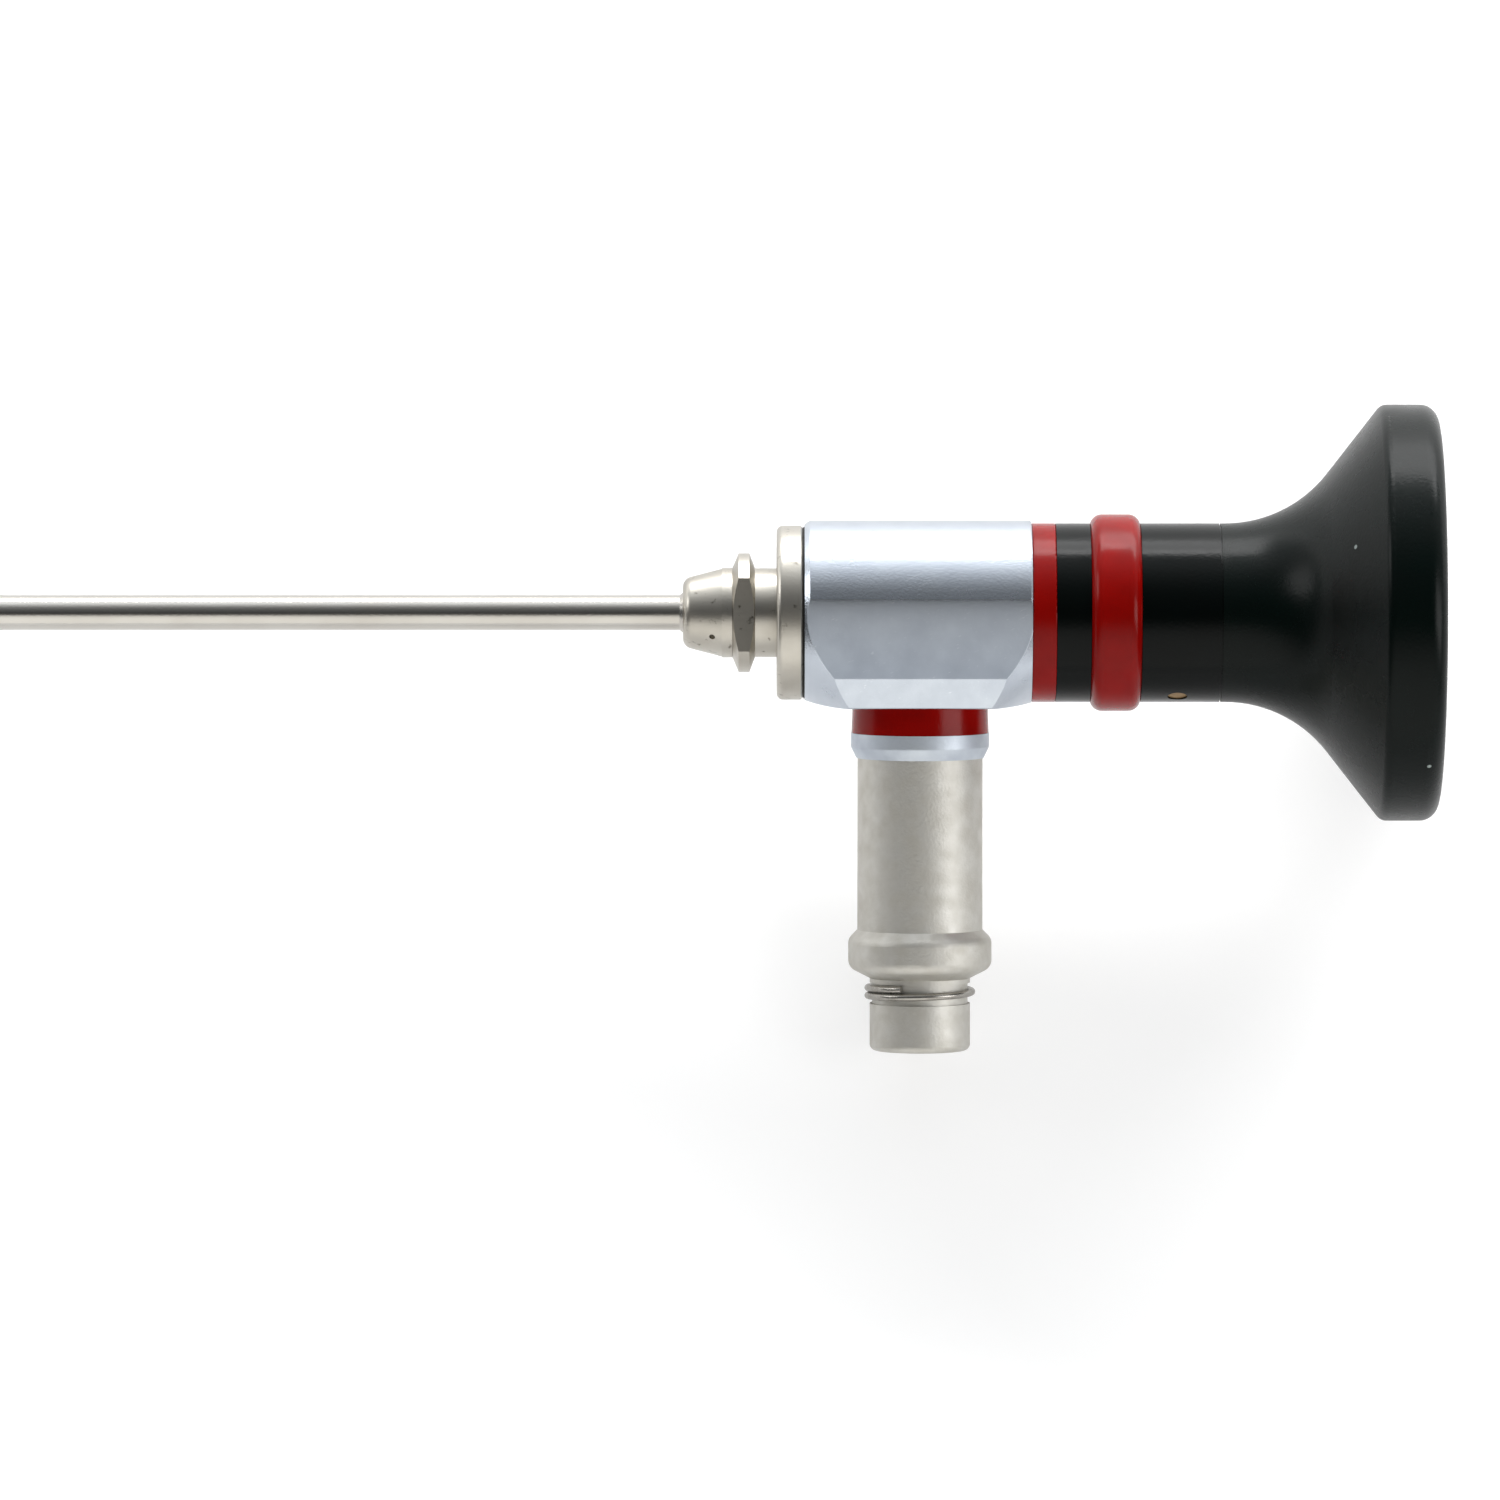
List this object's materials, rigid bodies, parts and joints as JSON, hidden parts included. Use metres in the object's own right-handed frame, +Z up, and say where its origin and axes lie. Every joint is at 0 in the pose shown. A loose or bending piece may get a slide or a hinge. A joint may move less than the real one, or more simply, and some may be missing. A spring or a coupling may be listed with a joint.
{
  "type": "rigid endoscope",
  "caption": "Rigid rod-lens endoscope: thin straight steel shaft, arch-shaped metal body, light post with snap-ring adapter, and a flared black eyepiece cup.",
  "frame": {"origin": "on the floor, below the middle of the box that holds the scope as it lies", "axes": "+X along the scope towards the eyepiece, +Y away from the light post, +Z up"},
  "size_m": [0.2456, 0.0492, 0.0321],
  "materials": {
    "shaft_steel": "polished stainless tube",
    "turned_steel": "fine turned, warm nickel tone",
    "blasted_steel": "bead-blasted stainless steel",
    "satin_body": "satin, bead-blasted",
    "red_plastic": "smooth moulded red",
    "black_plastic": "fine matte moulding",
    "brass": "turned brass",
    "blackened_brass": "blackened inner ring",
    "glass": "coated optical glass",
    "fibre": "polished glass fibres",
    "resin": "cured epoxy",
    "seal": "elastomer seal",
    "spring_steel": "drawn spring wire"
  },
  "bodies": {
    "root": {"adapter_nose": "blasted_steel", "adapter_seal": "seal", "adapter_sleeve": "blasted_steel", "barrel_screws": "brass", "body_gasket": "seal", "body_housing": "satin_body", "colour_ring": "red_plastic", "distal_window": "glass", "eyepiece_barrel": "black_plastic", "eyepiece_cup": "black_plastic", "eyepiece_window": "glass", "fibre_bundle": "fibre", "fibre_ferrule": "turned_steel", "fibre_layer": "fibre", "fibre_potting": "resin", "field_stop": "blackened_brass", "grip_ring": "red_plastic", "lock_spigot": "turned_steel", "objective_doublet": "glass", "objective_front_lens": "glass", "objective_spacer": "blackened_brass", "objective_stop": "blackened_brass", "ocular_front_lens": "glass", "ocular_rear_lens": "glass", "ocular_retainer": "blackened_brass", "ocular_spacer": "blackened_brass", "ocular_tube": "turned_steel", "optic_bush": "brass", "optic_tube": "shaft_steel", "outer_tube": "shaft_steel", "post_collar": "satin_body", "post_ring": "red_plastic", "post_tube": "turned_steel", "relay_spacer_1": "blackened_brass", "relay_spacer_2": "blackened_brass", "relay_spacer_3": "blackened_brass", "relay_spacer_4": "blackened_brass", "relay_spacer_5": "blackened_brass", "relay_spacer_6": "blackened_brass", "rod_lens_1": "glass", "rod_lens_2": "glass", "rod_lens_3": "glass", "rod_lens_4": "glass", "rod_lens_5": "glass", "rod_lens_6": "glass", "rod_lens_7": "glass", "shaft_cone": "turned_steel", "snap_ring": "spring_steel", "window_ring": "blackened_brass", "window_seal": "seal"}
  },
  "joints": []
}
